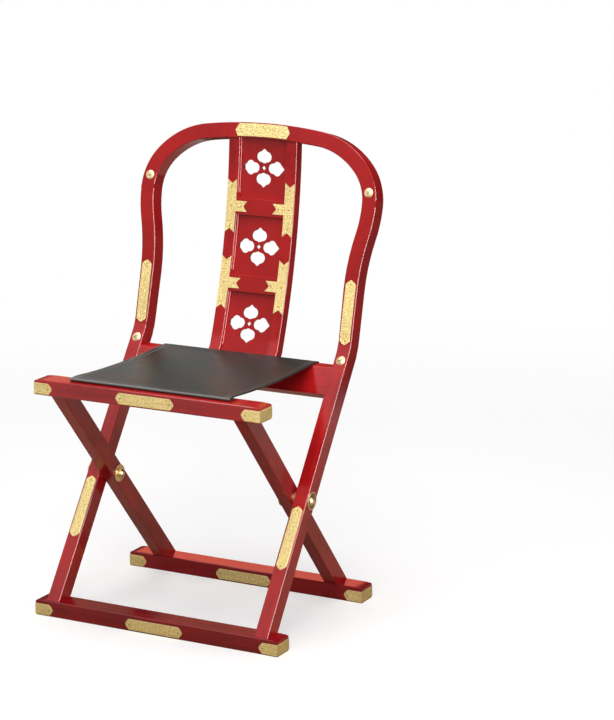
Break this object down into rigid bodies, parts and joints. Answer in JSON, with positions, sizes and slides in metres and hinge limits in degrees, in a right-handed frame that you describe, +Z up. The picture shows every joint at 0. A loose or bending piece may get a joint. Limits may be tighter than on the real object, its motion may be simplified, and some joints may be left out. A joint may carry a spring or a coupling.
{
  "type": "folding temple chair",
  "caption": "Folding ceremonial chair: lacquered frames that cross like scissors on their pivots, leather sling seat, horseshoe back with a pierced splat and sheet metal fittings",
  "frame": {"origin": "on the floor, under the middle of the chair's overall box", "axes": "X to the right as seen from the front, Y to the back, Z up"},
  "size_m": [0.51, 0.4756, 0.8793],
  "materials": {
    "red_lacquer": "wood under smooth red lacquer, satin gloss",
    "gilt_metal": "pale gilt sheet metal, finely chased",
    "leather": "dark grey-brown leather, matt and worn"
  },
  "bodies": {
    "back_frame": {"front_foot_rail": "red_lacquer", "back_leg_left": "red_lacquer", "back_leg_right": "red_lacquer", "rear_seat_rail": "red_lacquer", "hoop_side_left": "red_lacquer", "hoop_side_right": "red_lacquer", "crest_rail": "red_lacquer", "splat_stile_left": "red_lacquer", "splat_stile_right": "red_lacquer", "splat_rail_upper": "red_lacquer", "splat_rail_lower": "red_lacquer", "splat_rail_bottom": "red_lacquer", "splat_panel_top": "red_lacquer", "splat_panel_middle": "red_lacquer", "splat_panel_bottom": "red_lacquer", "splat_fitting_upper_left": "gilt_metal", "splat_fitting_upper_right": "gilt_metal", "splat_fitting_lower_left": "gilt_metal", "splat_fitting_lower_right": "gilt_metal", "crest_plate": "gilt_metal", "hoop_plate_left": "gilt_metal", "hoop_plate_right": "gilt_metal", "leg_plate_left": "gilt_metal", "leg_plate_right": "gilt_metal", "front_foot_plate": "gilt_metal", "front_foot_cap_left": "gilt_metal", "front_foot_cap_right": "gilt_metal", "hoop_screws": "gilt_metal", "splat_screws": "gilt_metal", "rear_leather_tacks": "gilt_metal", "pivot_bolts": "gilt_metal", "pivot_washers": "gilt_metal", "pivot_spacers": "gilt_metal", "pivot_nuts": "gilt_metal", "seat_leather": "leather"},
    "seat_frame": {"front_seat_rail": "red_lacquer", "seat_leg_left": "red_lacquer", "seat_leg_right": "red_lacquer", "rear_foot_rail": "red_lacquer", "seat_rail_plate": "gilt_metal", "seat_rail_cap_left": "gilt_metal", "seat_rail_cap_right": "gilt_metal", "rear_foot_plate": "gilt_metal", "rear_foot_cap_left": "gilt_metal", "rear_foot_cap_right": "gilt_metal", "leather_batten": "red_lacquer", "front_leather_tacks": "gilt_metal"}
  },
  "joints": [
    {"name": "frame_fold", "type": "hinge", "parent": "back_frame", "child": "seat_frame", "pos_m": [0, -0.04708, 0.2395], "axis": [-1, 0, 0], "range_deg": [0, 64], "deforming": ["seat_leather"]}
  ]
}
